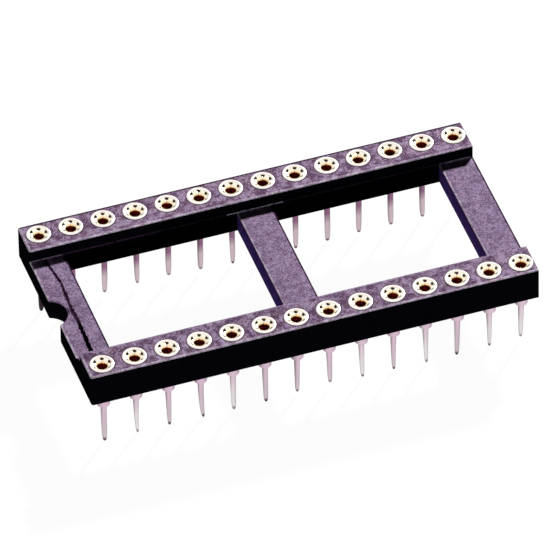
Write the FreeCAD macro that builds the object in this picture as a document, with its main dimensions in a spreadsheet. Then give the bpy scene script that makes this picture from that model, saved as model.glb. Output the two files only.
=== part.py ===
import FreeCAD, Part
import os

import Sketcher

# Dual-in-line socket with turned contacts: an open moulded frame with two rails and three
# crossbars, a turned sleeve pressed into each hole of the rails, and a six-leaf spring clip
# pressed into the mouth of each sleeve.
# Frame of the part: origin at the centre of the contact grid, on the board surface that the
# sleeves' shoulders stand on. X runs along the rows, away from the notched end. Z points up.

# Driving sizes in millimetres, degrees for an angle
SIZES = {
    # contact grid
    "contacts_per_row": 14,
    "pitch": 2.54,
    "row_spacing": 15.24,
    # moulded frame
    "seat_height": 4.2,
    "frame_height": 2.8,
    "notched_end_margin": 1.29,
    "plain_end_margin": 1.0,
    "rail_outer_margin": 1.25,
    "rail_inner_margin": 1.67,
    "crossbar_drop": 1.05,
    "crossbar_width": 2.75,
    "parting_ledge": 0.05,
    "notch_radius": 1.42,
    "notch_depth": 1.0,
    # turned sleeve, widths across the flats
    "sleeve_sides": 12,
    "head_diameter": 1.83,
    "head_height": 0.45,
    "head_rise": 0.1,
    "body_diameter": 1.36,
    "collar_diameter": 1.02,
    "shoulder_height": 0.42,
    "shoulder_diameter": 0.56,
    "tail_diameter": 0.47,
    "tail_length": 3.6,
    "mouth_diameter": 1.5,
    "mouth_depth": 0.22,
    "bore_diameter": 1.12,
    "bore_bottom_diameter": 0.72,
    "bore_depth": 3.3,
    # formed spring clip
    "clip_leaves": 6,
    "clip_sheet": 0.08,
    "clip_length": 1.8,
    "clip_grip": 0.44,
    "petal_width": 0.46,
    "petal_rim_depth": 0.03,
    "clip_turn": -18,
    # fits
    "head_clearance": 0.05,
    "press_clearance": 0.02,
    "clip_clearance": 0.01,
}


def make_sheet(doc):
    """Put every driving size in its own named cell."""
    sheet = doc.addObject("Spreadsheet::Sheet", "sizes")
    for row, (name, value) in enumerate(SIZES.items(), start=1):
        sheet.set(f"A{row}", name)
        sheet.set(f"B{row}", str(value))
        sheet.setAlias(f"B{row}", name)
    doc.recompute()
    return sheet


def origin_feature(body, role):
    """One of the body's own origin planes or axes."""
    for feature in body.Origin.OriginFeatures:
        if feature.Role == role:
            return feature
    raise ValueError(role)


def new_sketch(body, name, plane, offset=None):
    """A sketch on an origin plane of the body, moved along the plane's normal by an expression."""
    sketch = body.newObject("Sketcher::SketchObject", name)
    sketch.AttachmentSupport = [(origin_feature(body, plane), "")]
    sketch.MapMode = "FlatFace"
    if offset:
        sketch.setExpression("AttachmentOffset.Base.z", offset)
    return sketch


def set_coordinate(sketch, kind, edge, expression, start_value):
    """Hold the first point of an edge at a distance from the sketch's origin."""
    if expression == "0":
        axis = -2 if kind == "DistanceX" else -1
        sketch.addConstraint(Sketcher.Constraint("PointOnObject", edge, 1, axis))
        return
    index = sketch.addConstraint(Sketcher.Constraint(kind, -1, 1, edge, 1, start_value))
    sketch.setExpression(f"Constraints[{index}]", expression)


def draw_outline(sketch, corners):
    """A closed outline of straight edges, each corner given as two expressions."""
    count = len(corners)
    first = sketch.GeometryCount
    start_points = [FreeCAD.Vector(first + i + 1, (first + i + 1) ** 2, 0) for i in range(count)]
    for i in range(count):
        sketch.addGeometry(Part.LineSegment(start_points[i], start_points[(i + 1) % count]), False)
    for i in range(count):
        sketch.addConstraint(Sketcher.Constraint("Coincident", first + i, 2, first + (i + 1) % count, 1))
    for i, (across, along) in enumerate(corners):
        set_coordinate(sketch, "DistanceX", first + i, across, start_points[i].x)
        set_coordinate(sketch, "DistanceY", first + i, along, start_points[i].y)


def draw_rectangle(sketch, left, right, low, high):
    draw_outline(sketch, [(left, low), (right, low), (right, high), (left, high)])


def add_feature(body, kind, name, sketch):
    feature = body.newObject(kind, name)
    feature.Profile = sketch
    return feature


# Places along the rows and across them, as expressions of the sheet
FIRST_X = "(-(sizes.contacts_per_row - 1) / 2 * sizes.pitch)"
LEFT_END = f"({FIRST_X} - sizes.notched_end_margin)"
RIGHT_END = f"(-{FIRST_X} + sizes.plain_end_margin)"
ROW_Y = "(sizes.row_spacing / 2)"
RAIL_OUTER = f"({ROW_Y} + sizes.rail_outer_margin)"
RAIL_INNER = f"({ROW_Y} - sizes.rail_inner_margin)"
FRAME_BOTTOM = "(sizes.seat_height - sizes.frame_height)"
CROSSBAR_TOP = "(sizes.seat_height - sizes.crossbar_drop)"
HEAD_BOTTOM = "(sizes.seat_height - sizes.head_height)"
HEAD_TOP = "(sizes.seat_height + sizes.head_rise)"
BORE_TOP = f"({HEAD_TOP} - sizes.mouth_depth)"
CLIP_BOTTOM = f"({HEAD_TOP} - sizes.clip_length)"
SIDES = "sizes.sleeve_sides"


def make_ring_form(doc, name, count, plan, low, high, cuts):
    """A form of equal leaves round the Z axis.

    One leaf is a block of the given plan between two heights, trimmed right across by the
    outlines in cuts, which stand in the XZ plane. The leaf is then repeated round the axis.
    """
    body = doc.addObject("PartDesign::Body", name)
    leaf_plan = new_sketch(body, f"{name}_leaf_plan", "XY_Plane", low)
    draw_outline(leaf_plan, plan)
    block = add_feature(body, "PartDesign::Pad", f"{name}_leaf", leaf_plan)
    block.setExpression("Length", f"{high} - {low}")
    for index, corners in enumerate(cuts, start=1):
        section = new_sketch(body, f"{name}_section_{index}", "XZ_Plane")
        draw_outline(section, corners)
        trim = add_feature(body, "PartDesign::Pocket", f"{name}_trim_{index}", section)
        trim.Type = "ThroughAll"
        trim.Midplane = True
    ring = body.newObject("PartDesign::PolarPattern", f"{name}_ring")
    ring.TransformMode = "Whole shape"
    ring.Axis = (origin_feature(body, "Z_Axis"), [""])
    ring.Angle = 360
    ring.setExpression("Occurrences", count)
    body.Tip = ring
    doc.recompute()
    return body


def wedge_plan(far):
    """Plan of one of the sleeve's equal sectors, out to a distance beyond its outline."""
    side = f"{far} * tan(180 deg / sizes.sleeve_sides)"
    return [("0", "0"), (far, f"-{side}"), (far, side)]


def make_seat_form(doc):
    """The space that a sleeve takes in its rail, with the fit's clearance."""
    neck_radius = "(sizes.body_diameter / 2 + sizes.press_clearance)"
    taper = "((sizes.body_diameter - sizes.collar_diameter) / 2)"
    taper_length = f"({HEAD_BOTTOM} - sizes.shoulder_height)"
    exit_radius = f"({neck_radius} - {taper} * ({HEAD_BOTTOM} - {FRAME_BOTTOM}) / {taper_length})"
    outside = [
        (exit_radius, FRAME_BOTTOM),
        (neck_radius, HEAD_BOTTOM),
        ("sizes.head_diameter / 2 + sizes.head_clearance", "sizes.seat_height"),
        ("2 * sizes.head_diameter", "sizes.seat_height"),
        ("2 * sizes.head_diameter", FRAME_BOTTOM),
    ]
    plan = wedge_plan("sizes.head_diameter")
    return make_ring_form(doc, "seat_form", SIDES, plan, FRAME_BOTTOM, "sizes.seat_height", [outside])


def make_frame(doc):
    """The moulded frame before its holes: rails, lower crossbars and the orientation notch."""
    body = doc.addObject("PartDesign::Body", "frame_form")
    lower_inner = f"({RAIL_INNER} - sizes.parting_ledge)"
    half_bar = "(sizes.crossbar_width / 2)"

    plan = new_sketch(body, "frame_plan", "XY_Plane", FRAME_BOTTOM)
    draw_rectangle(plan, LEFT_END, RIGHT_END, f"-{RAIL_OUTER}", RAIL_OUTER)
    draw_rectangle(plan, f"{LEFT_END} + sizes.crossbar_width", f"-{half_bar}", f"-{lower_inner}", lower_inner)
    draw_rectangle(plan, half_bar, f"{RIGHT_END} - sizes.crossbar_width", f"-{lower_inner}", lower_inner)
    frame = add_feature(body, "PartDesign::Pad", "frame", plan)
    frame.setExpression("Length", "sizes.frame_height - sizes.crossbar_drop")

    rails_plan = new_sketch(body, "rails_plan", "XY_Plane", CROSSBAR_TOP)
    draw_rectangle(rails_plan, LEFT_END, RIGHT_END, RAIL_INNER, RAIL_OUTER)
    draw_rectangle(rails_plan, LEFT_END, RIGHT_END, f"-{RAIL_OUTER}", f"-{RAIL_INNER}")
    rails = add_feature(body, "PartDesign::Pad", "rails", rails_plan)
    rails.setExpression("Length", "sizes.crossbar_drop")

    notch_plan = new_sketch(body, "notch_plan", "XY_Plane", CROSSBAR_TOP)
    notch_plan.addGeometry(Part.Circle(FreeCAD.Vector(-1, 0, 0), FreeCAD.Vector(0, 0, 1), 1), False)
    notch_plan.addConstraint(Sketcher.Constraint("PointOnObject", 0, 3, -1))
    centre = notch_plan.addConstraint(Sketcher.Constraint("DistanceX", -1, 1, 0, 3, -1))
    radius = notch_plan.addConstraint(Sketcher.Constraint("Radius", 0, 1))
    notch_plan.setExpression(f"Constraints[{centre}]", f"{LEFT_END} + sizes.notch_depth - sizes.notch_radius")
    notch_plan.setExpression(f"Constraints[{radius}]", "sizes.notch_radius")
    notch = add_feature(body, "PartDesign::Pocket", "notch", notch_plan)
    notch.Type = "ThroughAll"

    doc.recompute()
    return body


def make_housing(doc, frame, seats):
    """The frame with a hole for every sleeve."""
    holes = doc.addObject("Part::Compound", "sleeve_seats")
    holes.Links = seats
    housing = doc.addObject("Part::Cut", "housing")
    housing.Base = frame
    housing.Tool = holes
    return housing


def make_sleeve_form(doc):
    """The sleeve on the Z axis: a faceted body with a funnel and a blind bore, and a round tail."""
    bore_bottom = f"({HEAD_TOP} - sizes.bore_depth)"
    outside = [
        ("sizes.shoulder_diameter / 2", "0"),
        ("sizes.collar_diameter / 2", "sizes.shoulder_height"),
        ("sizes.body_diameter / 2", HEAD_BOTTOM),
        ("sizes.head_diameter / 2", HEAD_TOP),
        ("2 * sizes.head_diameter", HEAD_TOP),
        ("2 * sizes.head_diameter", "0"),
    ]
    inside = [
        ("-sizes.head_diameter", bore_bottom),
        ("sizes.bore_bottom_diameter / 2", bore_bottom),
        ("sizes.bore_diameter / 2", BORE_TOP),
        ("sizes.mouth_diameter / 2", HEAD_TOP),
        ("-sizes.head_diameter", HEAD_TOP),
    ]
    plan = wedge_plan("sizes.head_diameter")
    barrel = make_ring_form(doc, "barrel_form", SIDES, plan, "0", HEAD_TOP, [outside, inside])
    tail = doc.addObject("Part::Cylinder", "tail_form")
    tail.setExpression("Radius", "sizes.tail_diameter / 2")
    tail.setExpression("Height", "sizes.tail_length + sizes.shoulder_height")
    tail.setExpression("Placement.Base.z", "-sizes.tail_length")
    sleeve = doc.addObject("Part::Fuse", "sleeve_form")
    sleeve.Base = barrel
    sleeve.Tool = tail
    doc.recompute()
    return sleeve


def make_clip_form(doc):
    """The formed clip on the Z axis, of leaves that are each a sheet strip with one bend.

    Above the bend a petal flares out over the mouth of the sleeve, with a gap to the next petal.
    Below it a finger leans in to grip the lead.
    """
    half_angle = "(180 deg / sizes.clip_leaves)"
    bend_outer = f"((sizes.bore_diameter / 2 - sizes.clip_clearance) * cos({half_angle}))"
    bend_inner = f"({bend_outer} - sizes.clip_sheet)"
    rim_outer = f"({bend_outer} + (sizes.mouth_diameter - sizes.bore_diameter) / 2 - sizes.clip_sheet)"
    rim_z = f"({HEAD_TOP} - sizes.petal_rim_depth)"
    tip_inner = "(sizes.clip_grip / 2)"
    side_corner = f"(sizes.petal_width / 2 / tan({half_angle}))"
    plan = [
        ("0", "0"),
        (side_corner, "-sizes.petal_width / 2"),
        ("sizes.mouth_diameter", "-sizes.petal_width / 2"),
        ("sizes.mouth_diameter", "sizes.petal_width / 2"),
        (side_corner, "sizes.petal_width / 2"),
    ]
    inside = [
        ("-sizes.clip_sheet", CLIP_BOTTOM),
        (tip_inner, CLIP_BOTTOM),
        (bend_inner, BORE_TOP),
        (rim_outer, rim_z),
        ("-sizes.clip_sheet", rim_z),
    ]
    outside = [
        (f"{tip_inner} + sizes.clip_sheet", CLIP_BOTTOM),
        ("2 * sizes.mouth_diameter", CLIP_BOTTOM),
        ("2 * sizes.mouth_diameter", rim_z),
        (f"{rim_outer} + sizes.clip_sheet / 2", rim_z),
        (bend_outer, BORE_TOP),
    ]
    return make_ring_form(doc, "clip_form", "sizes.clip_leaves", plan, CLIP_BOTTOM, rim_z, [inside, outside])


def place_forms(doc, name, form, per_row, turn=None):
    """A copy of the form at every grid point, numbered round the socket from the notched end."""
    copies = []
    for index in range(2 * per_row):
        near_row = index < per_row
        steps = index if near_row else 2 * per_row - 1 - index
        copy = doc.addObject("PartDesign::Body", f"{name}_{index + 1:02d}")
        copy.BaseFeature = form
        copy.setExpression("Placement.Base.x", f"{FIRST_X} + {steps} * sizes.pitch")
        copy.setExpression("Placement.Base.y", f"-{ROW_Y}" if near_row else ROW_Y)
        if turn:
            copy.setExpression("Placement.Rotation.Angle", turn)
        copies.append(copy)
    return copies


def check_and_export(doc, parts):
    """Stop on any failed object or bad solid, then write each part to its own file."""
    for item in doc.Objects:
        if "Invalid" in item.State or "Error" in item.State:
            raise RuntimeError(f"{item.Label}: {item.State}")
    for part in parts:
        if part.Shape.isNull() or not part.Shape.isValid() or len(part.Shape.Solids) != 1:
            raise RuntimeError(f"{part.Label} is not one valid solid")
    os.makedirs("parts", exist_ok=True)
    for part in parts:
        part.Shape.exportStep(os.path.join("parts", f"{part.Label}.step"))


def main():
    doc = FreeCAD.newDocument("ic_socket")
    sheet = make_sheet(doc)
    per_row = int(sheet.get("contacts_per_row"))
    seats = place_forms(doc, "seat", make_seat_form(doc), per_row)
    housing = make_housing(doc, make_frame(doc), seats)
    sleeves = place_forms(doc, "sleeve", make_sleeve_form(doc), per_row)
    clips = place_forms(doc, "clip", make_clip_form(doc), per_row, "sizes.clip_turn")
    doc.recompute()
    check_and_export(doc, [housing] + sleeves + clips)


main()
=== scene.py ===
import math
import random

import bmesh
import bpy
from mathutils import Matrix, Vector


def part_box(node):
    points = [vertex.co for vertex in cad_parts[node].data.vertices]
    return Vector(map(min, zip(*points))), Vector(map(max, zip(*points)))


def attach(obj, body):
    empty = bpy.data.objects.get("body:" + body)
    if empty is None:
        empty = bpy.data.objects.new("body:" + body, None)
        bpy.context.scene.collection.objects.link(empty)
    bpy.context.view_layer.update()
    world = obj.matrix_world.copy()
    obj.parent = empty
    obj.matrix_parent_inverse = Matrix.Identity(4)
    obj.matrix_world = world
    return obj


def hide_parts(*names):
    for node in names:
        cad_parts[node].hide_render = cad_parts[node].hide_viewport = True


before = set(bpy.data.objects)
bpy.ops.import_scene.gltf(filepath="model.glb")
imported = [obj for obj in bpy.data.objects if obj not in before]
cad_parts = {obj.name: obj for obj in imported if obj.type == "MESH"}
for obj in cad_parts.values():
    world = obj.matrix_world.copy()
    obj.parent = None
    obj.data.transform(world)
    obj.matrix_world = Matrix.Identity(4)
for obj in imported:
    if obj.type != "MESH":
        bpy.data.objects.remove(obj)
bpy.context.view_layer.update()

MM = 0.001


def box_of(node):
    """Lowest and highest corner of a CAD node, in millimetres."""
    return [[round(value / MM, 3) for value in corner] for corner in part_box(node)]


# Sizes in millimetres, from the frame; heights start at the plane of the sleeves' shoulders
(LEFT_END, _, FRAME_BOTTOM), (RIGHT_END, RAIL_OUTER, SEAT) = box_of("housing")
(_, _, TAIL_END), (_, _, HEAD_TOP) = box_of("sleeve_01")
CLIP_BOTTOM = box_of("clip_01")[0][2]

# Sizes in millimetres, degrees for an angle, the same as the solids have
PITCH = 2.54
PER_ROW = 14
CONTACTS = 2 * PER_ROW
FIRST_X = -(PER_ROW - 1) / 2 * PITCH
ROW_Y = 7.62
RAIL_INNER = 5.95
CROSSBAR_TOP = 3.15
CROSSBAR_WIDTH = 2.75
LEDGE = 0.05
NOTCH_RADIUS = 1.42
NOTCH_DEPTH = 1.0
HEAD_BOTTOM = 3.75
MOUTH_RADIUS = 0.75
BORE_TOP = 4.08
BORE_RADIUS = 0.56
BORE_BOTTOM = 1.0
BORE_BOTTOM_RADIUS = 0.36
BODY_RADIUS = 0.68
COLLAR_RADIUS = 0.51
SHOULDER_HEIGHT = 0.42
TAIL_RADIUS = 0.235
LEAVES = 6
CLIP_TURN = -18

# Sizes in millimetres that only the scene has, or that differ a little from the solids
EDGE_DEPTH = 0.1
RAIL_ROUNDING = 0.2
RAIL_END_ROUNDING = 0.02
BAR_ROUNDING = 0.15
BAR_BURIED = 0.35
BAR_INSET = 0.002
LEDGE_TOP = 3.25
LEDGE_BURIED = 0.2
LEDGE_LIFT = 0.01
LEDGE_INSET = 0.1
LEDGE_CHAMFER_DEPTH = 0.03
LEDGE_CHAMFER_HEIGHT = 0.1
HEAD_RADIUS = 0.95
BODY_FOOT_RADIUS = 0.566
AXIS_RADIUS = 0.0001
SHEET = 0.035


def contact_place(index):
    """Grid place of a contact, numbered round the socket from the notched end."""
    near = index < PER_ROW
    steps = index if near else CONTACTS - 1 - index
    return FIRST_X + steps * PITCH, -ROW_Y if near else ROW_Y


# Materials

# Scales of the noise that mottles and roughens the surfaces
PLASTIC_PATCHES = 1800
PLASTIC_SPECKLE = 9000
PLASTIC_TINT = 2100
METAL_PATCHES = 1400
METAL_GRAIN = 6000
TURNING_MARKS = 2500
# Relief of the surfaces: strength, and height in metres
PLASTIC_RELIEF = (0.3, 0.00003)
METAL_RELIEF = (0.12, 0.00001)

# Sockets of a mix node that works on colours
MIX_FACTOR, MIX_FIRST, MIX_SECOND, MIX_RESULT = 0, 6, 7, 2


def new_material(name):
    """A material with its nodes, their links and its shader."""
    material = bpy.data.materials.new(name)
    material.use_nodes = True
    nodes = material.node_tree.nodes
    return material, nodes, material.node_tree.links, nodes["Principled BSDF"]


def noise(nodes, links, coordinates, scale, detail, roughness=0.5):
    texture = nodes.new("ShaderNodeTexNoise")
    texture.inputs["Scale"].default_value = scale
    texture.inputs["Detail"].default_value = detail
    texture.inputs["Roughness"].default_value = roughness
    links.new(coordinates.outputs["Object"], texture.inputs["Vector"])
    return texture


def ramp(nodes, links, source, stops):
    """Colours by a value, from (value, colour) stops."""
    node = nodes.new("ShaderNodeValToRGB")
    while len(node.color_ramp.elements) < len(stops):
        node.color_ramp.elements.new(0.5)
    for element, (position, colour) in zip(node.color_ramp.elements, stops):
        element.position = position
        element.color = (*colour, 1)
    links.new(source, node.inputs["Fac"])
    return node.outputs["Color"]


def multiply_colours(nodes, links, first, second):
    mix = nodes.new("ShaderNodeMix")
    mix.data_type = "RGBA"
    mix.blend_type = "MULTIPLY"
    mix.inputs[MIX_FACTOR].default_value = 1.0
    links.new(first, mix.inputs[MIX_FIRST])
    links.new(second, mix.inputs[MIX_SECOND])
    return mix.outputs[MIX_RESULT]


def set_roughness(nodes, links, shader, patches, roughness):
    """Let the roughness vary with the patches between its lowest and highest value."""
    spread = nodes.new("ShaderNodeMapRange")
    spread.inputs["To Min"].default_value, spread.inputs["To Max"].default_value = roughness
    links.new(patches.outputs["Fac"], spread.inputs["Value"])
    links.new(spread.outputs["Result"], shader.inputs["Roughness"])


def set_relief(nodes, links, shader, texture, relief):
    bump = nodes.new("ShaderNodeBump")
    bump.inputs["Strength"].default_value, bump.inputs["Distance"].default_value = relief
    links.new(texture.outputs["Fac"], bump.inputs["Height"])
    links.new(bump.outputs["Normal"], shader.inputs["Normal"])


def plastic_material(name, stops, specular, roughness, patchy):
    """Moulded plastic with a fine matt grain and a mottle of two scales; patchy is the coarse one's share."""
    material, nodes, links, shader = new_material(name)
    coordinates = nodes.new("ShaderNodeTexCoord")
    patches = noise(nodes, links, coordinates, PLASTIC_PATCHES, 3, 0.6)
    speckle = noise(nodes, links, coordinates, PLASTIC_SPECKLE, 2)
    coarse = nodes.new("ShaderNodeMath")
    coarse.operation = "MULTIPLY"
    coarse.inputs[1].default_value = patchy
    links.new(patches.outputs["Fac"], coarse.inputs[0])
    mottle = nodes.new("ShaderNodeMath")
    mottle.operation = "MULTIPLY_ADD"
    mottle.inputs[1].default_value = 1 - patchy
    links.new(speckle.outputs["Fac"], mottle.inputs[0])
    links.new(coarse.outputs["Value"], mottle.inputs[2])
    colour = ramp(nodes, links, mottle.outputs["Value"], stops)
    tint = noise(nodes, links, coordinates, PLASTIC_TINT, 2)
    hue = ramp(nodes, links, tint.outputs["Fac"], [(0.38, (0.97, 0.99, 1.04)), (0.62, (1.03, 0.99, 0.98))])
    links.new(multiply_colours(nodes, links, colour, hue), shader.inputs["Base Color"])
    shader.inputs["Specular IOR Level"].default_value = specular
    set_roughness(nodes, links, shader, patches, roughness)
    set_relief(nodes, links, shader, speckle, PLASTIC_RELIEF)
    return material


def metal_material(name, bands, roughness, metallic=1.0, specular=0.5, turned=False):
    """Plated metal with uneven patches, coloured by height from (height, colour) bands.

    A turned piece has fine marks round its axis and is darkened by the painted shade that its points carry.
    """
    material, nodes, links, shader = new_material(name)
    coordinates = nodes.new("ShaderNodeTexCoord")
    place = nodes.new("ShaderNodeSeparateXYZ")
    links.new(coordinates.outputs["Object"], place.inputs["Vector"])
    height = nodes.new("ShaderNodeMapRange")
    low, high = bands[0][0] * MM, bands[-1][0] * MM
    height.inputs["From Min"].default_value = low
    height.inputs["From Max"].default_value = high
    links.new(place.outputs["Z"], height.inputs["Value"])
    stops = [((z * MM - low) / (high - low), colour) for z, colour in bands]
    colour = ramp(nodes, links, height.outputs["Result"], stops)
    patches = noise(nodes, links, coordinates, METAL_PATCHES, 3)
    tone = ramp(nodes, links, patches.outputs["Fac"], [(0.3, (0.93, 0.92, 0.92)), (0.7, (1.0, 1.0, 1.0))])
    colour = multiply_colours(nodes, links, colour, tone)
    if turned:
        shade = nodes.new("ShaderNodeAttribute")
        shade.attribute_name = "shade"
        colour = multiply_colours(nodes, links, colour, shade.outputs["Color"])
        marks = nodes.new("ShaderNodeTexWave")
        marks.bands_direction = "Z"
        marks.inputs["Scale"].default_value = TURNING_MARKS
        marks.inputs["Distortion"].default_value = 1.5
        links.new(coordinates.outputs["Object"], marks.inputs["Vector"])
    else:
        marks = noise(nodes, links, coordinates, METAL_GRAIN, 2)
    links.new(colour, shader.inputs["Base Color"])
    shader.inputs["Metallic"].default_value = metallic
    shader.inputs["Specular IOR Level"].default_value = specular
    set_roughness(nodes, links, shader, patches, roughness)
    set_relief(nodes, links, shader, marks, METAL_RELIEF)
    return material


# The frame's plastics: colours by the mottle's value, specular level, roughness and patchiness
# They are one black plastic in lit and shaded copies: top and rail are tops painted lit, side is faces
# painted in shade, edge and brow are painted highlights on upper edges, line is a painted highlight on the
# far ledge, blue is painted bluish light on faces that look left, and seat and crease are painted shade round
# the holes, in the sink crease and on edges that look away
PLASTIC_SHADES = {
    "top": ([(0.40, (0.132, 0.088, 0.148)), (0.50, (0.232, 0.167, 0.262)), (0.60, (0.355, 0.28, 0.40))],
            0.0, (0.5, 0.65), 0.34),
    "side": ([(0.36, (0.0015, 0.0012, 0.0022)), (0.62, (0.0035, 0.003, 0.0055))],
             0.0, (0.45, 0.6), 0.34),
    "edge": ([(0.38, (0.30, 0.24, 0.30)), (0.48, (0.62, 0.55, 0.62)), (0.60, (0.82, 0.76, 0.82))],
             0.1, (0.5, 0.65), 0.34),
    "seat": ([(0.36, (0.08, 0.048, 0.08)), (0.62, (0.17, 0.12, 0.18))],
             0.05, (0.5, 0.65), 0.34),
    "line": ([(0.40, (0.10, 0.10, 0.16)), (0.50, (0.60, 0.60, 0.72)), (0.60, (0.92, 0.92, 1.0))],
             0.05, (0.45, 0.6), 0.7),
    "blue": ([(0.38, (0.17, 0.085, 0.50)), (0.62, (0.33, 0.165, 0.86))],
             0.0, (0.5, 0.65), 0.34),
    "crease": ([(0.40, (0.008, 0.003, 0.010)), (0.60, (0.065, 0.03, 0.065))],
               0.0, (0.5, 0.65), 0.34),
    "rail": ([(0.43, (0.10, 0.055, 0.10)), (0.50, (0.20, 0.135, 0.205)), (0.575, (0.37, 0.29, 0.40))],
             0.0, (0.5, 0.65), 0.55),
    "brow": ([(0.40, (0.22, 0.16, 0.225)), (0.50, (0.40, 0.32, 0.41)), (0.60, (0.62, 0.54, 0.64))],
             0.05, (0.5, 0.65), 0.55),
}
PLASTICS = [plastic_material(f"plastic_{name}", *finish) for name, finish in PLASTIC_SHADES.items()]
PLASTIC_SLOTS = {name: slot for slot, name in enumerate(PLASTIC_SHADES)}

# The tails' colours: colours of the tip, the shank and the collar, the heights between which the shank's
# colour turns into the collar's, how metallic the surface is and its specular level. The tips are darker and
# the far row is darker at the collar; the last contact's tail is painted shadow, nearly black and matt
TIN_SHADES = {
    "tin_rose": ((0.03, 0.015, 0.025), (0.68, 0.56, 0.62), (0.80, 0.57, 0.72), (-1.8, 0.1), 0.8, 0.5),
    "tin_pale": ((0.26, 0.24, 0.24), (0.84, 0.79, 0.80), (0.80, 0.60, 0.72), (-1.8, 0.1), 0.8, 0.5),
    "tin_dusk": ((0.14, 0.09, 0.11), (0.66, 0.52, 0.57), (0.30, 0.13, 0.24), (-1.5, -0.5), 0.8, 0.5),
    "tin_painted_shadow": ((0.02, 0.008, 0.015), (0.035, 0.012, 0.026), (0.04, 0.015, 0.03), (-1.8, 0.1), 0.0, 0.1),
}
TIP_TOP = TAIL_END + 0.28
SHANK_BOTTOM = TAIL_END + 0.55


def tin_material(name):
    tip, shank, collar, turn, metallic, specular = TIN_SHADES[name]
    bands = [(TAIL_END, tip), (TIP_TOP, tip), (SHANK_BOTTOM, shank), (turn[0], shank), (turn[1], collar)]
    return metal_material(name, bands, (0.3, 0.45), metallic, specular, True)


TINS = {name: tin_material(name) for name in TIN_SHADES}
RIM = metal_material("bright_rim", [
    (HEAD_BOTTOM, (0.93, 0.86, 0.80)), (HEAD_TOP, (0.955, 0.90, 0.845)),
], (0.16, 0.26), turned=True)
# The bore's wall carries painted shade: near black under the petals, so the notches between them look dark,
# and reddish brown further down
BORE = metal_material("bore_wall", [
    (HEAD_TOP - 1.0, (0.60, 0.11, 0.015)), (HEAD_TOP - 0.45, (0.10, 0.02, 0.003)),
    (HEAD_TOP, (0.02, 0.012, 0.006)),
], (0.5, 0.6), 0.0)
# The clips' gold carries painted light and shade by depth: cream near the head's top, golden lower down, a
# near-black band, and reddish brown below it
GOLD = metal_material("gold_plate", [
    (HEAD_TOP - 0.62, (0.95, 0.26, 0.04)), (HEAD_TOP - 0.41, (0.09, 0.011, 0.001)),
    (HEAD_TOP - 0.37, (0.50, 0.22, 0.05)), (HEAD_TOP - 0.29, (0.98, 0.82, 0.52)),
    (HEAD_TOP - 0.16, (1.0, 0.95, 0.83)),
], (0.14, 0.24))


# Meshes

# Points closer than this are one point, in millimetres
WELD = 0.0005
# Points of an outline closer than this are one point, in metres
SAME_PLACE = 1e-7
# A face whose normal's upward part is larger than this lies flat
FLAT = 0.9999


def add_point(bm, x, y, z):
    return bm.verts.new((x * MM, y * MM, z * MM))


def skin(bm, rings, closed=True):
    """Faces between successive rings of equal length; closed joins each ring's end to its start."""
    count = len(rings[0])
    for low, high in zip(rings, rings[1:]):
        for i in range(count if closed else count - 1):
            j = (i + 1) % count
            corners = []
            for vertex in (low[i], low[j], high[j], high[i]):
                if vertex not in corners:
                    corners.append(vertex)
            if len(corners) > 2:
                bm.faces.new(corners)


def finish_piece(bm, name, material_list, node, smooth_angle=35, paint=None):
    """Turn the built mesh into a piece that rides on the socket and stands for its node."""
    bmesh.ops.remove_doubles(bm, verts=bm.verts, dist=WELD * MM)
    bmesh.ops.recalc_face_normals(bm, faces=bm.faces)
    if paint:
        for face in bm.faces:
            face.material_index = PLASTIC_SLOTS[paint(face)]
    mesh = bpy.data.meshes.new(name)
    bm.to_mesh(mesh)
    bm.free()
    piece = bpy.data.objects.new(name, mesh)
    bpy.context.scene.collection.objects.link(piece)
    for material in material_list:
        mesh.materials.append(material)
    mesh.polygons.foreach_set("use_smooth", [abs(polygon.normal.z) < FLAT for polygon in mesh.polygons])
    mesh.set_sharp_from_angle(angle=math.radians(smooth_angle))
    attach(piece, "root")
    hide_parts(node)
    return piece


# The moulded frame

# A rounded upper edge, as shares of its width outward and of its depth downward: a shallow brow first
EDGE_TURN = [(0, 0), (0.6, 0.10), (0.84, 0.30), (0.96, 0.62), (1, 1)]
CORNER_STEPS = 4
# Radius and height of a hole in a rail, from its rounded lip down to its foot
HOLE = [
    (1.03, SEAT), (0.99, SEAT - 0.012), (0.965, SEAT - 0.035), (0.70, HEAD_BOTTOM),
    (0.585, FRAME_BOTTOM + 0.02), (0.60, FRAME_BOTTOM),
]
HOLE_STEPS = 48
# Least width of flat rail between the last hole's lip and the rounded end
LIP_MARGIN = 0.002
# A direction with a smaller part than this along an axis never meets that axis's sides
PARALLEL = 1e-9

# The sink crease in the notched bar's top as points of (y, x, half its width)
CREASE = [
    (-6.3, -16.52, 0.13), (-4.79, -16.5, 0.17), (-1.7, -16.39, 0.15), (-0.04, -16.44, 0.15),
    (1.6, -16.36, 0.14), (2.9, -16.29, 0.12), (4.95, -16.52, 0.12), (6.3, -16.6, 0.10),
]
CREASE_PACE = 0.2
CREASE_POINTS = 64
CREASE_WANDER = 0.018
CREASE_OVERLAP = 0.005
# Nearer than this, the notched bar's left edge is painted in shade, where it meets the rail's corner
NEAR_CORNER_Y = -5.3
NOTCH_STEPS = 28
NOTCH_TURN_STEPS = 3
LEDGE_PACE = 0.5
LEDGE_RINGS = 71

# Where the paints of the frame end, in millimetres
SEAT_RING_END = HOLE[0][0] + 0.015
SEAT_RING_DEPTH = 0.051
CREASE_STRIP_END = -16
CREASE_REACH = 0.3
CREASE_BLACK_END = -1.6
MIDDLE_LINE_END = CROSSBAR_WIDTH / 2 + 0.8
NOTCH_END = LEFT_END + NOTCH_DEPTH + 0.1
NEAR_LEDGE = 0.06
# Heights closer than this are level
LEVEL = 0.01
# Least part of a normal towards a side for a face that looks there a little, or fully
A_LITTLE = 0.05
FULLY = 0.7
# Least upward part of a normal for an upper edge, a ledge's chamfer and a brow
EDGE_UP = 0.25
CHAMFER_UP = 0.2
BROW_UP = 0.9


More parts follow.
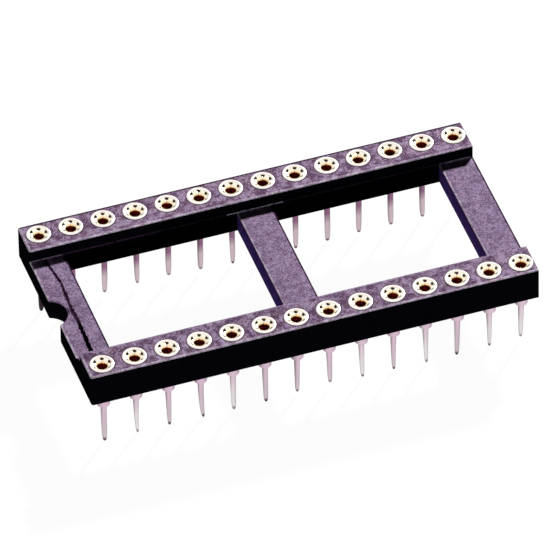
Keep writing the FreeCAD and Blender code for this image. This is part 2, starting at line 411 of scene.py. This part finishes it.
def add_rounded_slab(bm, outline, low, high):
    """Side of a slab from its outline, given as (x, y, outward x, outward y) at the inset edge.

    The lower edge is turned the same way as the upper one. The two inset edges are returned.
    """
    profile = [(out, high - drop * EDGE_DEPTH) for out, drop in EDGE_TURN]
    profile += [(out, low + drop * EDGE_DEPTH) for out, drop in reversed(EDGE_TURN)]
    rings = [[add_point(bm, x + out * nx, y + out * ny, z) for x, y, nx, ny in outline] for out, z in profile]
    skin(bm, rings)
    return rings[0], rings[-1]


def corner_fan(x, y, start, end, reach_x, reach_y):
    """The same inset corner repeated with its outward direction turning from start to end, in degrees."""
    fan = []
    for step in range(CORNER_STEPS + 1):
        angle = math.radians(start + (end - start) * step / CORNER_STEPS)
        fan.append((x, y, reach_x * math.cos(angle), reach_y * math.sin(angle)))
    return fan


def reach_along(place, ends, part):
    """Distance from a place between two ends to the one ahead, going with this part along the axis."""
    if abs(part) <= PARALLEL:
        return math.inf
    return ((ends[1] if part > 0 else ends[0]) - place) / part


def add_cell(bm, centre, row_y, x_ends, y_ends, lip_end):
    """The stretch of rail round one contact, with its tapered hole; no lip goes past lip_end along x."""
    angles = {round(2 * math.pi * i / HOLE_STEPS, 6) for i in range(HOLE_STEPS)}
    for corner_x in x_ends:
        for corner_y in y_ends:
            angles.add(round(math.atan2(corner_y - row_y, corner_x - centre) % (2 * math.pi), 6))
    angles = sorted(angles)
    edge = []
    for angle in angles:
        c, s = math.cos(angle), math.sin(angle)
        reach = min(reach_along(centre, x_ends, c), reach_along(row_y, y_ends, s))
        edge.append((centre + reach * c, row_y + reach * s))
    hole = []
    for radius, z in HOLE:
        hole.append([add_point(bm, min(centre + radius * math.cos(angle), lip_end),
                               row_y + radius * math.sin(angle), z) for angle in angles])
    top = [add_point(bm, x, y, SEAT) for x, y in edge]
    bottom = [add_point(bm, x, y, FRAME_BOTTOM) for x, y in edge]
    skin(bm, [top] + hole + [bottom])


def add_rail(bm, sign):
    """One rail; sign is -1 for the near rail and 1 for the far one."""
    low_y, high_y = sorted((sign * RAIL_INNER, sign * RAIL_OUTER))
    low_y, high_y = low_y + RAIL_ROUNDING, high_y - RAIL_ROUNDING
    low_x, high_x = LEFT_END + RAIL_ROUNDING, RIGHT_END - RAIL_END_ROUNDING
    borders = [low_x] + [FIRST_X + step * PITCH + PITCH / 2 for step in range(PER_ROW - 1)] + [high_x]
    for step, x_ends in enumerate(zip(borders, borders[1:])):
        add_cell(bm, FIRST_X + step * PITCH, sign * ROW_Y, x_ends, (low_y, high_y), high_x - LIP_MARGIN)
    outline = corner_fan(low_x, low_y, 180, 270, RAIL_ROUNDING, RAIL_ROUNDING)
    outline += [(x, low_y, 0, -RAIL_ROUNDING) for x in borders[1:-1]]
    outline += corner_fan(high_x, low_y, 270, 360, RAIL_END_ROUNDING, RAIL_ROUNDING)
    outline += corner_fan(high_x, high_y, 0, 90, RAIL_END_ROUNDING, RAIL_ROUNDING)
    outline += [(x, high_y, 0, RAIL_ROUNDING) for x in reversed(borders[1:-1])]
    outline += corner_fan(low_x, high_y, 90, 180, RAIL_ROUNDING, RAIL_ROUNDING)
    add_rounded_slab(bm, outline, FRAME_BOTTOM, SEAT)


def crease_at(y):
    """Place and half width of the crease at a place across the socket."""
    for (y0, x0, half0), (y1, x1, half1) in zip(CREASE, CREASE[1:]):
        if y <= y1:
            t = (y - y0) / (y1 - y0)
            return x0 + (x1 - x0) * t, half0 + (half1 - half0) * t
    return CREASE[-1][1:]


def crease_points(side):
    """The crease as one side of an outline; side is the outward direction in x."""
    wander = random.Random(3)
    points = []
    for step in range(CREASE_POINTS):
        y = CREASE[0][0] + CREASE_PACE * step
        x, half = crease_at(y)
        half *= wander.uniform(0.5, 1.35)
        x += wander.uniform(-CREASE_WANDER, CREASE_WANDER)
        points.append((x - side * half, y, side * (half + CREASE_OVERLAP), 0))
    return points


def add_slab(bm, outline):
    """A crossbar's slab with its top and bottom closed."""
    for ring in add_rounded_slab(bm, outline, FRAME_BOTTOM, CROSSBAR_TOP):
        corners = []
        for vertex in ring:
            if not corners or (vertex.co - corners[-1].co).length > SAME_PLACE:
                corners.append(vertex)
        if (corners[0].co - corners[-1].co).length < SAME_PLACE:
            corners.pop()
        bm.faces.new(corners)


def bar_side(x, start_y, end_y, outward):
    """A crossbar's long side as part of an outline, upright at its two ends, which the rails hide."""
    return [(x, start_y, 0, 0), (x, start_y, outward, 0), (x, end_y, outward, 0), (x, end_y, 0, 0)]


def notch_points(left, edge_x):
    """The half-round notch in a bar's left side as part of an outline."""
    centre_x = left + NOTCH_DEPTH - NOTCH_RADIUS
    inset_radius = NOTCH_RADIUS + BAR_ROUNDING
    half = math.acos((edge_x - centre_x) / inset_radius)
    arc = []
    for i in range(NOTCH_STEPS + 1):
        angle = half - 2 * half * i / NOTCH_STEPS
        arc.append((centre_x + inset_radius * math.cos(angle), inset_radius * math.sin(angle),
                    -BAR_ROUNDING * math.cos(angle), -BAR_ROUNDING * math.sin(angle)))
    upper, lower = arc[0][:2], arc[-1][:2]
    turns = [half * i / NOTCH_TURN_STEPS for i in range(NOTCH_TURN_STEPS)]
    into = [(*upper, -BAR_ROUNDING * math.cos(t), -BAR_ROUNDING * math.sin(t)) for t in turns]
    out_of = [(*lower, -BAR_ROUNDING * math.cos(t), BAR_ROUNDING * math.sin(t)) for t in reversed(turns)]
    return into + arc + out_of


def add_bar(bm, left, right, notched=False):
    """One crossbar, its ends buried in the rails; the notched one is two slabs parted by the crease."""
    end_y = RAIL_INNER + BAR_BURIED
    edge_x = left + BAR_ROUNDING
    left_side = bar_side(edge_x, end_y, -end_y, -BAR_ROUNDING)
    right_side = bar_side(right - BAR_ROUNDING, -end_y, end_y, BAR_ROUNDING)
    if not notched:
        add_slab(bm, left_side + right_side)
        return
    near_corner = [(edge_x, NEAR_CORNER_Y, -BAR_ROUNDING, 0)]
    add_slab(bm, left_side[:2] + notch_points(left, edge_x) + near_corner + left_side[2:] + crease_points(1))
    add_slab(bm, crease_points(-1)[::-1] + right_side)


def add_ledge(bm, sign):
    """The fine step that the mould left along a rail's inner face, with a chamfer on its upper edge."""
    inner = sign * (RAIL_INNER - LEDGE)
    back = sign * (RAIL_INNER + LEDGE_BURIED)
    bottom = FRAME_BOTTOM + LEDGE_LIFT
    profile = [
        (back, bottom), (inner, bottom), (inner, LEDGE_TOP - LEDGE_CHAMFER_HEIGHT),
        (inner + sign * LEDGE_CHAMFER_DEPTH, LEDGE_TOP), (back, LEDGE_TOP),
    ]
    rings = []
    for i in range(LEDGE_RINGS):
        x = LEFT_END + LEDGE_INSET + LEDGE_PACE * i
        rings.append([add_point(bm, x, y, z) for y, z in profile])
    skin(bm, rings)


def ledge_plastic(x, y):
    """The far rail's ledge carries a painted highlight, a line lightest over the middle and right bars,
    dimmer over the notched one and dark between the bars; the near one is painted in shade.
    """
    if y < 0:
        return "side"
    if x < LEFT_END + CROSSBAR_WIDTH:
        return "seat"
    if abs(x) < MIDDLE_LINE_END or x > RIGHT_END - CROSSBAR_WIDTH:
        return "line"
    return "crease"


def edge_plastic(x, y, z, normal):
    """Upper edges carry painted highlights where they look to the left or to the near side, and painted shade
    where they look away and where the notched bar meets the rail's near corner.
    """
    if x < CREASE_STRIP_END and y < NEAR_CORNER_Y and z < CROSSBAR_TOP:
        return "side"
    if x < NOTCH_END and abs(y) < NOTCH_RADIUS:
        return "top"
    bar_looks_away = normal.x > A_LITTLE and abs(y) < RAIL_INNER
    rail_looks_away = normal.y > A_LITTLE and y > ROW_Y
    if bar_looks_away or rail_looks_away:
        return "crease"
    if normal.y >= -A_LITTLE and normal.x >= -A_LITTLE:
        return "top"
    return "brow" if normal.z > BROW_UP else "edge"


def frame_plastic(face):
    """Name of the plastic on a face of the frame, by where it lies and which way it looks: painted light on
    the tops, painted shade on the sides, in the holes and in the crease, and painted highlights on the ledge
    and the upper edges.
    """
    x, y, z = face.calc_center_median() / MM
    normal = face.normal
    from_inner_face = abs(y) - RAIL_INNER
    steps = min(max(round((x - FIRST_X) / PITCH), 0), PER_ROW - 1)
    from_contact = math.hypot(x - FIRST_X - steps * PITCH, abs(y) - ROW_Y)
    on_bar = from_inner_face < 0 and z < CROSSBAR_TOP
    near_ledge = abs(z - LEDGE_TOP) < NEAR_LEDGE and abs(from_inner_face) < NEAR_LEDGE
    # Flat tops are painted lit
    if normal.z > FLAT and abs(z - LEDGE_TOP) > LEVEL:
        return "rail" if from_inner_face > 0 else "top"
    # Round each hole, painted shade: a dark ring on the lip's chamfer, near black down the hole
    if from_contact < SEAT_RING_END and z > FRAME_BOTTOM:
        return "seat" if z > SEAT - SEAT_RING_DEPTH and from_contact > HEAD_RADIUS else "side"
    # The sink crease is painted in shade, black on its near part
    by_crease = x < CREASE_STRIP_END and abs(x - crease_at(y)[0]) < CREASE_REACH
    if on_bar and by_crease and from_inner_face < -LEDGE:
        return "side" if y < CREASE_BLACK_END else "crease"
    if near_ledge and normal.z > CHAMFER_UP:
        return ledge_plastic(x, y)
    if normal.z > EDGE_UP:
        return edge_plastic(x, y, z, normal)
    # Faces of the bars that look left get painted bluish light; all other faces that look sideways or down
    # are painted in shade
    return "blue" if on_bar and normal.x < -FULLY and x > -CROSSBAR_WIDTH else "side"


def build_housing():
    bm = bmesh.new()
    add_rail(bm, -1)
    add_rail(bm, 1)
    add_bar(bm, LEFT_END + BAR_INSET, LEFT_END + CROSSBAR_WIDTH, True)
    add_bar(bm, -CROSSBAR_WIDTH / 2, CROSSBAR_WIDTH / 2)
    add_bar(bm, RIGHT_END - CROSSBAR_WIDTH, RIGHT_END - BAR_INSET)
    add_ledge(bm, -1)
    add_ledge(bm, 1)
    finish_piece(bm, "moulded_frame", PLASTICS, "housing", paint=frame_plastic)


# The turned sleeves

LATHE_STEPS = 48
# Below this height a tail tapers, and over this length down to its end
TAPER_TOP = -0.2
TAPER_LENGTH = TAPER_TOP - TAIL_END
# Heights between which the collar's underside lies
COLLAR_UNDERSIDE = (0.14, 0.25)
# Above this height a tail's left side has a broad streak of painted shade
STREAK_BOTTOM = -1.5

# What the photograph shows of single tails, by the contact's index: how much higher a tail ends, its taper as
# a share of its radius, its bend in millimetres at the end, the ones with a paler colour, and the ones of the
# near row that are as wide as the solids, while the rest are slimmer
SHORT_TAILS = {
    6: 0.25, 7: 0.42, 8: 0.12, 9: 0.12, 12: 0.12, 13: 0.32, 14: 0.45, 15: 0.24, 16: 0.24, 17: 0.24,
    18: 0.14, 19: 0.1, 20: 0.1, 21: 0.14, 22: 0.34, 23: 0.52, 24: 0.44, 25: 0.34, 26: 0.1,
}
TAPERED_TAILS = {0: 0.1, 1: 0.42, 2: 0.25, 3: 0.35}
BENT_TAILS = {1: 0.08, 3: 0.12, 14: 0.12}
PALE_TAILS = (1, 4, 8, 10, 12, 13)
FULL_TAILS = (0, 3)
SLIM_TAIL = 0.92
SLIMMEST_TAIL = 0.86
SLIMMEST_FROM = 8
# Direction in degrees that the tails' painted bright side looks in, about towards the camera; their sides at
# right angles to it carry painted shade
BRIGHT_SIDE = -98
# Painted shade under the collar, how dark a short tail's tip is, and the tip's length
UNDERSIDE_SHADE = 0.6
TIP_SHADE = 0.3
TIP_LENGTH = 0.26


def add_lathe(bm, profile, centre, lean, painted_shade_and_dark_tip):
    """A turned form from (radius, height, slot) points.

    lean gives the sideways shift of a height, the other function the painted shade of a point, with a darker
    tip, from its angle and height.
    """
    shade = bm.verts.layers.float_color.new("shade")
    rings = []
    for radius, z, _ in profile:
        shift_x, shift_y = lean(z)
        ring = []
        for i in range(LATHE_STEPS):
            angle = 2 * math.pi * i / LATHE_STEPS
            vertex = add_point(bm, centre[0] + shift_x + radius * math.cos(angle),
                               centre[1] + shift_y + radius * math.sin(angle), z)
            tone = painted_shade_and_dark_tip(angle, z)
            vertex[shade] = (tone, tone, tone, 1)
            ring.append(vertex)
        rings.append(ring)
    for (_, _, slot), low, high in zip(profile, rings, rings[1:]):
        for i in range(LATHE_STEPS):
            j = (i + 1) % LATHE_STEPS
            face = bm.faces.new((low[i], low[j], high[j], high[i]))
            face.material_index = slot


def sleeve_profile():
    """Radius, height and slot from the tail's tip up the outside, over the rim and down the bore."""
    tail = [(AXIS_RADIUS, TAIL_END), (0.07, TAIL_END + 0.015), (0.13, TAIL_END + 0.08)]
    tail += [(0.175, TAIL_END + 0.22), (0.205, TAIL_END + 0.45), (0.222, TAIL_END + 0.8)]
    tail += [(TAIL_RADIUS, TAIL_END + 1.6)]
    tail += [(TAIL_RADIUS, -0.14), (0.245, -0.04), (0.28, 0.08), (0.34, 0.15), (0.46, 0.20)]
    tail += [(0.495, 0.235), (COLLAR_RADIUS, 0.29), (COLLAR_RADIUS, SHOULDER_HEIGHT)]
    tail += [(BODY_FOOT_RADIUS, FRAME_BOTTOM)]
    head = [(BODY_RADIUS, HEAD_BOTTOM), (HEAD_RADIUS - 0.02, SEAT - 0.06), (HEAD_RADIUS, SEAT)]
    head += [(HEAD_RADIUS - 0.004, SEAT + 0.025), (HEAD_RADIUS - 0.018, SEAT + 0.05)]
    head += [(HEAD_RADIUS - 0.04, SEAT + 0.072), (HEAD_RADIUS - 0.07, SEAT + 0.09)]
    head += [(HEAD_RADIUS - 0.10, HEAD_TOP), (MOUTH_RADIUS + 0.015, HEAD_TOP)]
    head += [(MOUTH_RADIUS - 0.005, HEAD_TOP - 0.01), (0.71, HEAD_TOP - 0.07)]
    bore = [(0.703, HEAD_TOP - 0.115), (0.69, HEAD_TOP - 0.18), (0.62, HEAD_TOP - 0.27)]
    bore += [(BORE_RADIUS, BORE_TOP - 0.1), (BORE_BOTTOM_RADIUS, BORE_BOTTOM + 0.1)]
    bore += [(BORE_BOTTOM_RADIUS - 0.06, BORE_BOTTOM), (AXIS_RADIUS, BORE_BOTTOM)]
    return [(radius, z, slot) for slot, part in enumerate((tail, head, bore)) for radius, z in part]


def tail_colour(index):
    """Name of the colour that the photograph shows on a contact's tail; the last contact's is painted shadow.
    """
    if index == CONTACTS - 1:
        return "tin_painted_shadow"
    if index >= PER_ROW:
        return "tin_dusk"
    return "tin_pale" if index in PALE_TAILS else "tin_rose"


def tail_width(index):
    """Width of a contact's tail as a share of the solid's."""
    if index in FULL_TAILS or index >= PER_ROW:
        return 1
    return SLIM_TAIL if index < SLIMMEST_FROM else SLIMMEST_TAIL


def build_sleeve(index, rng):
    tilt = math.radians(rng.uniform(-0.9, 0.9)), math.radians(rng.uniform(-0.5, 0.5))
    short = SHORT_TAILS.get(index, 0.0) + rng.uniform(0.0, 0.04)
    taper = TAPERED_TAILS.get(index, rng.uniform(0.03, 0.25))
    bend = BENT_TAILS.get(index, rng.uniform(-0.04, 0.04))
    bright_side = math.radians(BRIGHT_SIDE + rng.uniform(-12, 12))
    depth = rng.uniform(0.5, 0.7)

    def lean(z):
        below = min(0.0, z)
        return math.tan(tilt[0]) * below + bend * (below / TAIL_END) ** 4, math.tan(tilt[1]) * below

    # Painted shade on the tail's sides, broadest on the left, and under the collar; a short tail's tip is
    # darker
    def painted_shade_and_dark_tip(angle, z):
        if z > HEAD_BOTTOM:
            return 1
        if short > 0.1 and z < TAIL_END + short + TIP_LENGTH:
            return TIP_SHADE
        across = math.sin(angle - bright_side)
        dark = depth * across ** 4 if across > 0 or z < STREAK_BOTTOM else 0.85 * across ** 2
        under_collar = COLLAR_UNDERSIDE[0] < z < COLLAR_UNDERSIDE[1]
        return (UNDERSIDE_SHADE if under_collar else 1) * (1 - dark)

    profile = []
    for radius, z, slot in sleeve_profile():
        if z < TAPER_TOP:
            radius *= tail_width(index) * (1 - taper * (TAPER_TOP - z) / TAPER_LENGTH)
            z = TAPER_TOP + (z - TAPER_TOP) * (1 - short / TAPER_LENGTH)
        profile.append((radius, z, slot))
    bm = bmesh.new()
    add_lathe(bm, profile, contact_place(index), lean, painted_shade_and_dark_tip)
    name = f"turned_sleeve_{index + 1:02d}"
    slots = [TINS[tail_colour(index)], RIM, BORE]
    finish_piece(bm, name, slots, f"sleeve_{index + 1:02d}", 40)


# The leaf clips

# Steps across a leaf, and between two points of its profile
LEAF_STEPS = 8
PROFILE_STEPS = 3
# Radius and depth under the head's top along a leaf's inner face, from the petal's rim downward
LEAF_PROFILE = [
    (0.708, 0.078), (0.672, 0.132), (0.64, 0.165), (0.60, 0.190), (0.56, 0.207), (0.52, 0.222),
    (0.487, 0.236), (0.460, 0.254), (0.438, 0.276), (0.415, 0.305), (0.395, 0.342), (0.377, 0.386),
    (0.362, 0.44), (0.35, 0.50), (0.34, 0.58), (0.325, 0.75), (0.29, 1.1),
    (0.235, HEAD_TOP - CLIP_BOTTOM - 0.02),
]
# The notch between two petals: half its width, and the radius where its round inner end begins
PETAL_NOTCH = 0.135
PETAL_NOTCH_RADIUS = 0.64
PETAL_NOTCH_LENGTH = 0.10
LEAST_GAP = 0.003
# Below this height the leaves are fingers, and half the gap between them widens over this length
FINGER_TOP = HEAD_TOP - 0.5
FINGER_GAP = 0.012
FINGER_GAP_GAIN = 0.05
FINGER_GAP_LENGTH = 1.2


def leaf_line():
    """Radius and height along a leaf, with fine steps between the points of its profile."""
    profile = [(radius, HEAD_TOP - depth) for radius, depth in LEAF_PROFILE]
    line = []
    for (r0, z0), (r1, z1) in zip(profile, profile[1:]):
        for step in range(PROFILE_STEPS):
            t = step / PROFILE_STEPS
            line.append((r0 + (r1 - r0) * t, z0 + (z1 - z0) * t))
    return line + profile[-1:]


def gap_half_width(radius, z):
    """Half the width of the gap between two leaves at a radius and height."""
    if z < FINGER_TOP:
        return FINGER_GAP + FINGER_GAP_GAIN * min(1.0, (FINGER_TOP - z) / FINGER_GAP_LENGTH)
    if radius > PETAL_NOTCH_RADIUS:
        return PETAL_NOTCH
    inside = (PETAL_NOTCH_RADIUS - radius) / PETAL_NOTCH_LENGTH
    return max(LEAST_GAP, PETAL_NOTCH * math.sqrt(max(0.0, 1 - inside * inside)))


def build_clip(index, rng):
    centre = contact_place(index)
    turn = CLIP_TURN + rng.uniform(-2.5, 2.5)
    bm = bmesh.new()
    for leaf in range(LEAVES):
        middle = math.radians(turn + 360 / LEAVES * leaf)
        rows = []
        for radius, z in leaf_line():
            gap = math.asin(min(0.9, gap_half_width(radius, z) / radius))
            half = max(0.02, math.pi / LEAVES - gap)
            row = []
            for i in range(LEAF_STEPS + 1):
                angle = middle + half * (2 * i / LEAF_STEPS - 1)
                row.append(add_point(bm, centre[0] + radius * math.cos(angle),
                                     centre[1] + radius * math.sin(angle), z))
            rows.append(row)
        skin(bm, rows, closed=False)
    name = f"leaf_clip_{index + 1:02d}"
    piece = finish_piece(bm, name, [GOLD], f"clip_{index + 1:02d}", 60)
    sheet = piece.modifiers.new("sheet", "SOLIDIFY")
    sheet.thickness = SHEET * MM
    sheet.offset = 0


# Stage, light and camera

# The floor's side and its number of cells, then the lamps' distance, side and aim, in millimetres
FLOOR_SIDE = 600
FLOOR_CELLS = 12
LIGHT_REACH = 600
LIGHT_SIZE = 60
LIGHT_TARGET = (0, 0, 2)

# Lamps: degrees from the far side towards the right, degrees of height, power in watts and colour
LIGHTS = {
    "key": (45, 38.6, 6.0, (1, 0.97, 1)),
    "fill": (-140, 2, 1.9, (0.94, 0.93, 1)),
}

# The photograph's camera, solved from the rings' centres: pixels, degrees and millimetres
PHOTO_PIXELS = 560
FOCAL_PIXELS = 12085.3
SENSOR = 36
AZIMUTH, ELEVATION, ROLL = -18.07, 42.40, -1.15
CAMERA_PLACE = (-208.11, -637.85, 609.45 + SEAT)
# Nearest and furthest distance that the camera shows, in metres
CLIP_START, CLIP_END = 0.01, 10


def white_behind(nodes, links, behind, seen, output):
    """Mix two shaders, the second for rays of the camera, of glossy surfaces and of glass."""
    path = nodes.new("ShaderNodeLightPath")
    first = nodes.new("ShaderNodeMath")
    first.operation = "MAXIMUM"
    links.new(path.outputs["Is Camera Ray"], first.inputs[0])
    links.new(path.outputs["Is Glossy Ray"], first.inputs[1])
    second = nodes.new("ShaderNodeMath")
    second.operation = "MAXIMUM"
    links.new(first.outputs["Value"], second.inputs[0])
    links.new(path.outputs["Is Transmission Ray"], second.inputs[1])
    mix = nodes.new("ShaderNodeMixShader")
    links.new(second.outputs["Value"], mix.inputs["Fac"])
    links.new(behind, mix.inputs[1])
    links.new(seen, mix.inputs[2])
    links.new(mix.outputs["Shader"], output)


def floor_material():
    """Pale floor that looks nearly white and still takes shadows, and that lights the socket little."""
    material = bpy.data.materials.new("pale_floor")
    material.use_nodes = True
    nodes, links = material.node_tree.nodes, material.node_tree.links
    nodes.clear()
    dim = nodes.new("ShaderNodeBsdfDiffuse")
    dim.inputs["Color"].default_value = (0.25, 0.25, 0.25, 1)
    lit = nodes.new("ShaderNodeBsdfDiffuse")
    lit.inputs["Color"].default_value = (0.07, 0.07, 0.07, 1)
    glow = nodes.new("ShaderNodeEmission")
    glow.inputs["Color"].default_value = (1, 1, 1, 1)
    glow.inputs["Strength"].default_value = 0.965
    seen = nodes.new("ShaderNodeAddShader")
    links.new(lit.outputs["BSDF"], seen.inputs[0])
    links.new(glow.outputs["Emission"], seen.inputs[1])
    output = nodes.new("ShaderNodeOutputMaterial")
    white_behind(nodes, links, dim.outputs["BSDF"], seen.outputs["Shader"], output.inputs["Surface"])
    return material


def build_floor():
    bm = bmesh.new()
    lines = [FLOOR_SIDE * (i / FLOOR_CELLS - 0.5) for i in range(FLOOR_CELLS + 1)]
    grid = [[add_point(bm, x, y, TAIL_END) for x in lines] for y in lines]
    skin(bm, grid, closed=False)
    mesh = bpy.data.meshes.new("floor")
    bm.to_mesh(mesh)
    bm.free()
    floor = bpy.data.objects.new("floor", mesh)
    bpy.context.scene.collection.objects.link(floor)
    mesh.materials.append(floor_material())


def build_world():
    world = bpy.data.worlds.new("studio")
    bpy.context.scene.world = world
    world.use_nodes = True
    nodes, links = world.node_tree.nodes, world.node_tree.links
    nodes.clear()
    dim = nodes.new("ShaderNodeBackground")
    dim.inputs["Color"].default_value = (0.95, 0.95, 1, 1)
    dim.inputs["Strength"].default_value = 0.012
    white = nodes.new("ShaderNodeBackground")
    white.inputs["Color"].default_value = (1, 1, 1, 1)
    white.inputs["Strength"].default_value = 1.0
    surface = nodes.new("ShaderNodeOutputWorld").inputs["Surface"]
    white_behind(nodes, links, dim.outputs["Background"], white.outputs["Background"], surface)


def build_lights():
    """A key from behind on the right, which shades the near sides, and a soft fill from the front left.

    Only the key shows in the metals.
    """
    for name, (side, height, power, colour) in LIGHTS.items():
        across, up = math.radians(side), math.radians(height)
        data = bpy.data.lights.new(name, "AREA")
        data.shape = "SQUARE"
        data.size = LIGHT_SIZE * MM
        data.energy = power
        data.color = colour
        light = bpy.data.objects.new(name, data)
        bpy.context.scene.collection.objects.link(light)
        flat_reach = LIGHT_REACH * math.cos(up)
        position = flat_reach * math.sin(across), flat_reach * math.cos(across), LIGHT_REACH * math.sin(up)
        light.location = Vector(position) * MM
        aim = Vector(LIGHT_TARGET) * MM - light.location
        light.rotation_euler = aim.to_track_quat("-Z", "Y").to_euler()
        light.visible_glossy = name == "key"


def build_camera():
    data = bpy.data.cameras.new("camera")
    camera = bpy.data.objects.new("camera", data)
    bpy.context.scene.collection.objects.link(camera)
    bpy.context.scene.camera = camera
    data.sensor_width = SENSOR
    data.lens = FOCAL_PIXELS / PHOTO_PIXELS * SENSOR
    data.clip_start = CLIP_START
    data.clip_end = CLIP_END
    azimuth, elevation, roll = (math.radians(angle) for angle in (AZIMUTH, ELEVATION, ROLL))
    back = Vector((math.sin(azimuth) * math.cos(elevation), -math.cos(azimuth) * math.cos(elevation),
                   math.sin(elevation)))
    turn = (-back).to_track_quat("-Z", "Y").to_matrix().to_4x4() @ Matrix.Rotation(roll, 4, "Z")
    camera.matrix_world = Matrix.Translation(Vector(CAMERA_PLACE) * MM) @ turn


rng = random.Random(7)
build_housing()
for index in range(CONTACTS):
    build_sleeve(index, rng)
for index in range(CONTACTS):
    build_clip(index, rng)
build_floor()
build_world()
build_lights()
build_camera()
bpy.context.scene.view_settings.view_transform = "Standard"
